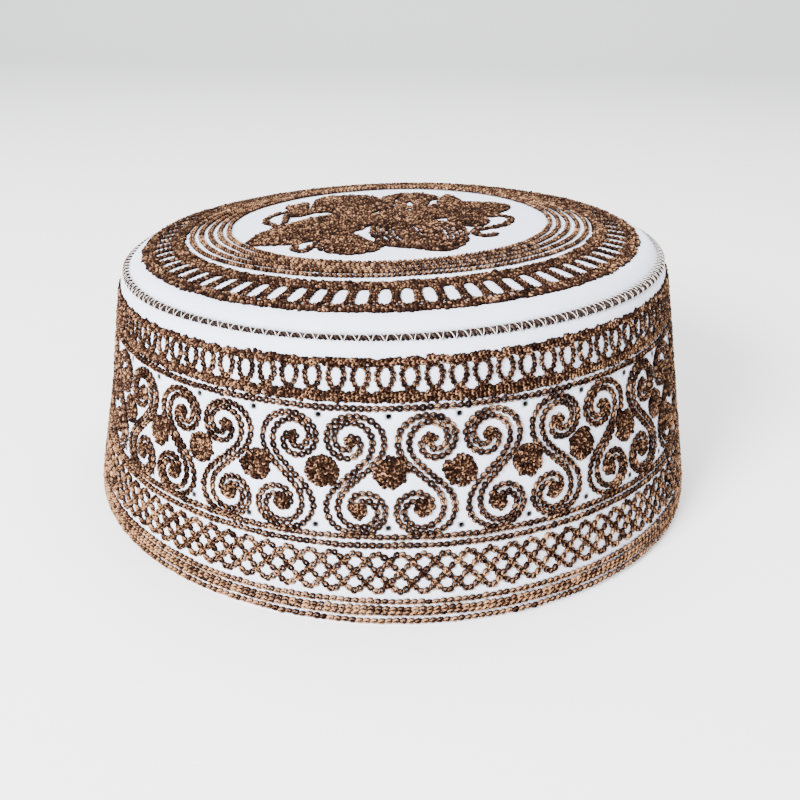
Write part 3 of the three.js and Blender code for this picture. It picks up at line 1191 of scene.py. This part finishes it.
class CAP_OT_crown_cloth(bpy.types.Operator):
    """Builds the crown's cloth"""

    bl_idname = "cap.crown_cloth"
    bl_label = "Crown cloth"

    COLUMNS = 336
    # Distance of the first row from the seam and of the last from the middle, and the spacing
    OUTER_ROWS = (0.3 * MM, 0.7 * MM, 1.3 * MM)
    INNER_ROWS = (1.5 * MM, 3.0 * MM, 6.0 * MM)

    def rows(self, skin, first, last, spacing):
        """Runs of the rows of one side."""
        return np.arange(skin.seam_run + first, skin.end_run - last, spacing)

    def execute(self, context):
        skin, sizes, counts = parts()
        wall = skin.form.wall
        columns = self.COLUMNS
        turn = np.arange(columns) * FULL_TURN / columns
        outer = self.rows(skin, *self.OUTER_ROWS)
        inner = self.rows(skin, *self.INNER_ROWS)[::-1]
        runs = np.concatenate([outer, inner])
        grid_turn, grid_run = np.meshgrid(turn, runs)
        lift = np.zeros(grid_turn.shape)
        lift[len(outer):] = -wall
        tree = stitch_tree(skin, sizes, counts)
        rows = len(outer)
        lift[:rows] -= drawn_in(skin, tree, grid_turn[:rows], grid_run[:rows])
        points = skin.place(grid_turn, grid_run, lift).reshape(-1, 3)
        shell = grid_faces(len(runs), columns, close_rows=True, close_columns=True)
        shell = shell.reshape(len(runs), columns, 4)
        shell = np.delete(shell, rows - 1, axis=0).reshape(-1, 4)
        tips = skin.place(0.0, skin.end_run, np.array([-skin.form.pucker, -wall]))
        top = len(points)
        i = np.arange(columns)
        after = (i + 1) % columns
        last_outer, first_inner = (rows - 1) * columns, rows * columns
        fans = np.vstack([
            np.stack([last_outer + i, last_outer + after, np.full(columns, top)], axis=1),
            np.stack([first_inner + after, first_inner + i, np.full(columns, top + 1)], axis=1),
        ])
        points = np.vstack([points, tips])
        add_piece("crown_cloth", cotton("crown cotton", False), points, [shell, fans],
                  replaces=("crown_panel",))
        return {"FINISHED"}


BAND_BOLD = 1.1                 # how much bolder links are than their plain size
RING_BOLD = 1.07


class CAP_OT_band_embroidery(bpy.types.Operator):
    """Stitches the rim lines, the lattice, the scrolls and their discs"""

    bl_idname = "cap.band_embroidery"
    bl_label = "Band embroidery"

    def execute(self, context):
        skin, sizes, counts = parts()
        line = open_link(sizes, sizes.pitch, BAND_BOLD)
        fill = filled_link(sizes)
        vary = sizes.unevenness
        # The last number of each piece is painted light: it lightens the thread, most on the rim lines
        # low on the band
        stitch("rim_lines", skin, rim_lines(skin), line, sizes, 1, vary, painted_light=0.26)
        stitch("lattice", skin, lattice_lines(skin, counts), line, sizes, 2, vary, painted_light=0.1)
        stitch("scrolls", skin, scroll_lines(skin, counts), line, sizes, 3, vary, painted_light=0.02)
        discs = disc_lines(skin, counts, sizes.row_gap)
        stitch("discs", skin, discs, fill, sizes, 4, sizes.fill_unevenness)
        return {"FINISHED"}


class CAP_OT_oval_border(bpy.types.Operator):
    """Stitches the border of ovals at the top of the band"""

    bl_idname = "cap.oval_border"
    bl_label = "Oval border"

    def execute(self, context):
        skin, sizes, counts = parts()
        line = open_link(sizes, sizes.pitch, BAND_BOLD)
        short = open_link(sizes, sizes.short_pitch)
        fill = filled_link(sizes)
        vary = sizes.unevenness
        stitch("border_line", skin, border_line(skin), line, sizes, 5, vary)
        edges = border_edges(skin, counts)
        # The last numbers are painted light, which lightens these pieces a little
        stitch("border_edges", skin, edges, fill, sizes, 6, sizes.fill_unevenness, painted_light=0.03)
        stitch("ovals", skin, oval_lines(skin, counts), short, sizes, 7, vary, painted_light=0.03)
        return {"FINISHED"}


class CAP_OT_crown_embroidery(bpy.types.Operator):
    """Stitches the crown's rings, its border of long loops and its leaf rosette"""

    bl_idname = "cap.crown_embroidery"
    bl_label = "Crown embroidery"

    def execute(self, context):
        skin, sizes, counts = parts()
        uneven_fill = sizes.fill_unevenness
        short = open_link(sizes, sizes.short_pitch)
        dense = open_link(sizes, sizes.short_pitch, RING_BOLD)
        fill = filled_link(sizes)
        vary = sizes.unevenness
        # The last numbers are painted light: they lighten the rings and darken the border of loops and
        # the rosette
        stitch("crown_rings", skin, crown_rings(skin), dense, sizes, 8, vary, painted_light=0.1)
        stitch("ladder_edges", skin, ladder_edges(skin), fill, sizes, 9, uneven_fill, painted_light=-0.06)
        stitch("ladder_loops", skin, ladder_loops(skin, counts), short, sizes, 10, vary, painted_light=-0.06)
        rosette = rosette_lines(skin, sizes.row_gap)
        stitch("rosette", skin, rosette, fill, sizes, 11, uneven_fill, painted_light=-0.05)
        return {"FINISHED"}


class CAP_OT_seam(bpy.types.Operator):
    """Lays the twisted braid in the seam and the white thread over it"""

    bl_idname = "cap.seam"
    bl_label = "Seam"

    STRANDS = 3
    STRAND_SIDES = 5
    TWISTS = 150
    TWIST_STEPS = 8
    STRAND_RADIUS = 0.45 * MM
    TWIST_RADIUS = 0.46 * MM
    DROP = 0.5 * MM
    THIN_TURN = math.radians(-18)
    THIN_REACH = math.radians(28)
    # Each at the thin place, and what is added elsewhere
    BROAD = (0.8, 0.75)
    THICK = (0.8, 0.35)
    REACH = (1.05, 0.5)             # of the white thread, in millimetres
    TONE_AND_PAINTED_SHINE = (0.2, 0.3)               # of the strands, and the painted highlight that makes them lighter on top
    PLIES = 1.5                     # to each twist
    # The white thread's height over one turn, as (share of the turn, height): across the top,
    # down with the slant, a turn at the bottom and up again
    ZIGZAG = ((0, 1), (0.25, 1), (0.72, -0.92), (0.78, -1), (0.98, 0.95), (1, 1))
    ZIGZAG_STEPS = 12
    ZIGZAG_LIFT = 1.2 * MM
    ZIGZAG_SINK = 0.02 * MM
    THREAD_RADIUS = 0.092 * MM
    THREAD_SIDES = 4

    def execute(self, context):
        skin, _, counts = parts()
        self.braid(skin)
        self.zigzag(skin, counts)
        return {"FINISHED"}

    def bulk(self, turn):
        """The braid is pulled thin in one place: 0 there, and 1 elsewhere."""
        off = np.mod(turn - self.THIN_TURN + math.pi, FULL_TURN) - math.pi
        return 1 - np.exp(-(off / self.THIN_REACH) ** 2)

    def swelled(self, least, more, turn):
        """A size that grows with the braid's bulk."""
        return least + more * self.bulk(turn)

    def braid(self, skin):
        """Three strands twisted about each other, broader than they are deep."""
        steps, sides = self.TWISTS * self.TWIST_STEPS, self.STRAND_SIDES
        turn = np.arange(steps) * FULL_TURN / steps
        middle = skin.place(turn, skin.seam_run - self.DROP, BRAID_STAND_OFF)
        out = skin.place(turn, skin.seam_run, MM) - skin.place(turn, skin.seam_run)
        out /= np.linalg.norm(out, axis=1)[:, None]
        along = np.roll(middle, -1, axis=0) - np.roll(middle, 1, axis=0)
        along /= np.linalg.norm(along, axis=1)[:, None]
        side = np.cross(along, out)
        broad = self.swelled(*self.BROAD, turn)
        thick = self.STRAND_RADIUS * self.swelled(*self.THICK, turn)
        point_sets, face_sets, tones, plies = [], [], [], []
        for strand in range(self.STRANDS):
            angle = self.TWISTS * turn + strand * FULL_TURN / self.STRANDS
            first = np.cos(angle)[:, None] * out + np.sin(angle)[:, None] * side
            second = np.cross(along, first)
            wound = np.cos(angle)[:, None] * out + (broad * np.sin(angle))[:, None] * side
            centre = middle + self.TWIST_RADIUS * wound
            points, faces = closed_tube(centre, first, second, thick, sides)
            face_sets.append(outward(points, faces) + sum(len(p) for p in point_sets))
            point_sets.append(points)
            # painted highlight: each strand is painted lighter where it lies on top of the braid
            tones.append(np.repeat(self.TONE_AND_PAINTED_SHINE[0] + self.TONE_AND_PAINTED_SHINE[1] * np.cos(angle), sides))
            passed = np.repeat(turn * self.TWISTS * self.PLIES, sides)
            plies.append(passed + np.tile(np.arange(sides) / sides, steps))
        values = {"tone": np.clip(np.concatenate(tones), 0, 1), "ply": np.concatenate(plies)}
        add_piece("seam_cord", cord_thread(), np.vstack(point_sets),
                  [np.vstack(face_sets)], values, replaces=("seam_braid",))

    def zigzag(self, skin, counts):
        """White thread that leans one way down over the braid and comes back steeply."""
        phase = np.arange(counts.zigzags * self.ZIGZAG_STEPS) / self.ZIGZAG_STEPS
        height = np.interp(np.mod(phase, 1.0), *zip(*self.ZIGZAG))
        turn = phase * FULL_TURN / counts.zigzags
        reach = self.swelled(*self.REACH, turn) * MM
        run = skin.seam_run - self.DROP + reach * height
        arch = np.sqrt(np.clip(1 - height ** 2, 0, 1))
        lift = self.ZIGZAG_LIFT * arch - self.ZIGZAG_SINK
        middle = skin.place(turn, run, lift)
        along = np.roll(middle, -1, axis=0) - np.roll(middle, 1, axis=0)
        along /= np.linalg.norm(along, axis=1)[:, None]
        out = skin.place(turn, run, lift + MM) - middle
        first = np.cross(along, out)
        first /= np.linalg.norm(first, axis=1)[:, None]
        second = np.cross(along, first)
        points, faces = closed_tube(middle, first, second, self.THREAD_RADIUS, self.THREAD_SIDES)
        add_piece("zigzag_thread", white_thread(), points, [outward(points, faces)])


class CAP_OT_stage(bpy.types.Operator):
    """Makes the floor, the lights and the camera at the photo's angle"""

    bl_idname = "cap.stage"
    bl_label = "Stage"

    FLOOR_HALF = 3.0
    SWEEP_START = 1.6
    SWEEP_RADIUS = 1.0
    SWEEP_STEPS = 12
    LAMP_AIM = Vector((0, 0, 0.04))
    # Name, place, size, power and colour of each lamp
    LAMPS = (
        ("key light", (-0.75, -0.95, 0.70), 0.45, 85.0, (1.0, 1.0, 1.0)),
        ("fill light", (0.9, -0.7, 0.5), 0.9, 8.0, (1.0, 0.88, 0.8)),
        ("top light", (0.1, 0.3, 1.3), 0.9, 22.0, (1.0, 1.0, 1.0)),
    )
    ROOM_COLOUR = (0.95, 0.97, 1.0, 1)
    ROOM_STRENGTH = 1.2
    # The camera looks at AIM from DISTANCE away, ELEVATION above the horizon, turned by ROLL.
    # Both angles are in radians.
    AIM = Vector((1.94, 0.0, 17.85)) * MM
    DISTANCE = 300.4 * MM
    ELEVATION = 0.43179
    ROLL = 0.01661
    LENS = 40.455
    SENSOR = 36.0

    def execute(self, context):
        self.floor()
        self.lights()
        self.camera()
        return {"FINISHED"}

    def floor(self):
        """A floor that sweeps up behind the cap."""
        angle = np.linspace(0, math.pi / 2, self.SWEEP_STEPS + 1)
        sweep = self.SWEEP_START + self.SWEEP_RADIUS * np.sin(angle)
        depth = np.concatenate([[-self.FLOOR_HALF], sweep])
        height = np.concatenate([[0.0], self.SWEEP_RADIUS * (1 - np.cos(angle))])
        depth = np.append(depth, depth[-1])
        height = np.append(height, self.FLOOR_HALF)
        sides = (-self.FLOOR_HALF, self.FLOOR_HALF)
        points = [(side, y, z) for y, z in zip(depth, height) for side in sides]
        faces = [(2 * i, 2 * i + 1, 2 * i + 3, 2 * i + 2) for i in range(len(depth) - 1)]
        mesh = bpy.data.meshes.new("floor")
        mesh.from_pydata(points, [], faces)
        mesh.shade_smooth()
        floor = bpy.data.objects.new("floor", mesh)
        bpy.context.scene.collection.objects.link(floor)
        material, _ = new_material("pale floor")
        nodes = Nodes(material)
        nodes.set(Base_Color=(*bpy.context.scene.cap_colours.floor, 1), Roughness=0.8)
        mesh.materials.append(material)

    def lamp(self, name, place, size, power, colour):
        """A soft square lamp that faces the cap."""
        data = bpy.data.lights.new(name, "AREA")
        data.size = size
        data.energy = power
        data.color = colour
        lamp = bpy.data.objects.new(name, data)
        lamp.location = place
        lamp.rotation_euler = (self.LAMP_AIM - Vector(place)).to_track_quat("-Z", "Y").to_euler()
        bpy.context.scene.collection.objects.link(lamp)

    def lights(self):
        for lamp in self.LAMPS:
            self.lamp(*lamp)
        world = bpy.data.worlds.new("soft room")
        world.use_nodes = True
        background = world.node_tree.nodes["Background"]
        background.inputs["Color"].default_value = self.ROOM_COLOUR
        background.inputs["Strength"].default_value = self.ROOM_STRENGTH
        bpy.context.scene.world = world

    def camera(self):
        data = bpy.data.cameras.new("camera")
        data.lens = self.LENS
        data.sensor_width = self.SENSOR
        camera = bpy.data.objects.new("camera", data)
        back = Vector((0, -math.cos(self.ELEVATION), math.sin(self.ELEVATION)))
        level = Vector((1, 0, 0))
        upright = back.cross(level)
        right = level * math.cos(self.ROLL) + upright * math.sin(self.ROLL)
        up = upright * math.cos(self.ROLL) - level * math.sin(self.ROLL)
        turn = Matrix((right, up, back)).transposed()
        camera.matrix_world = Matrix.Translation(self.AIM + back * self.DISTANCE) @ turn.to_4x4()
        bpy.context.scene.collection.objects.link(camera)
        bpy.context.scene.camera = camera


PIECES = (
    CAP_OT_band_cloth, CAP_OT_crown_cloth, CAP_OT_band_embroidery, CAP_OT_oval_border,
    CAP_OT_crown_embroidery, CAP_OT_seam, CAP_OT_stage,
)


class CAP_PT_panel(bpy.types.Panel):
    """Lists the cap's settings and the operators that build it"""

    bl_idname = "CAP_PT_panel"
    bl_label = "Kufi cap"
    bl_space_type = "VIEW_3D"
    bl_region_type = "UI"
    bl_category = "Kufi cap"

    def draw(self, context):
        scene = context.scene
        for settings in (scene.cap_form, scene.stitch_sizes, scene.pattern_counts, scene.cap_colours):
            box = self.layout.box()
            for key in settings.bl_rna.properties.keys():
                if key not in ("rna_type", "name"):
                    box.prop(settings, key)
        for piece in PIECES:
            self.layout.operator(piece.bl_idname)


SETTINGS = {
    "cap_form": CapForm,
    "stitch_sizes": StitchSizes,
    "pattern_counts": PatternCounts,
    "cap_colours": CapColours,
}


def register():
    for group in SETTINGS.values():
        bpy.utils.register_class(group)
    for key, group in SETTINGS.items():
        setattr(bpy.types.Scene, key, bpy.props.PointerProperty(type=group))
    for kind in (*PIECES, CAP_PT_panel):
        bpy.utils.register_class(kind)


def unregister():
    for kind in reversed((*PIECES, CAP_PT_panel)):
        bpy.utils.unregister_class(kind)
    for key, group in SETTINGS.items():
        delattr(bpy.types.Scene, key)
        bpy.utils.unregister_class(group)


def main():
    """Builds every piece."""
    register()
    for piece in PIECES:
        group, operator = piece.bl_idname.split(".")
        getattr(getattr(bpy.ops, group), operator)()


if __name__ == "__main__":
    main()
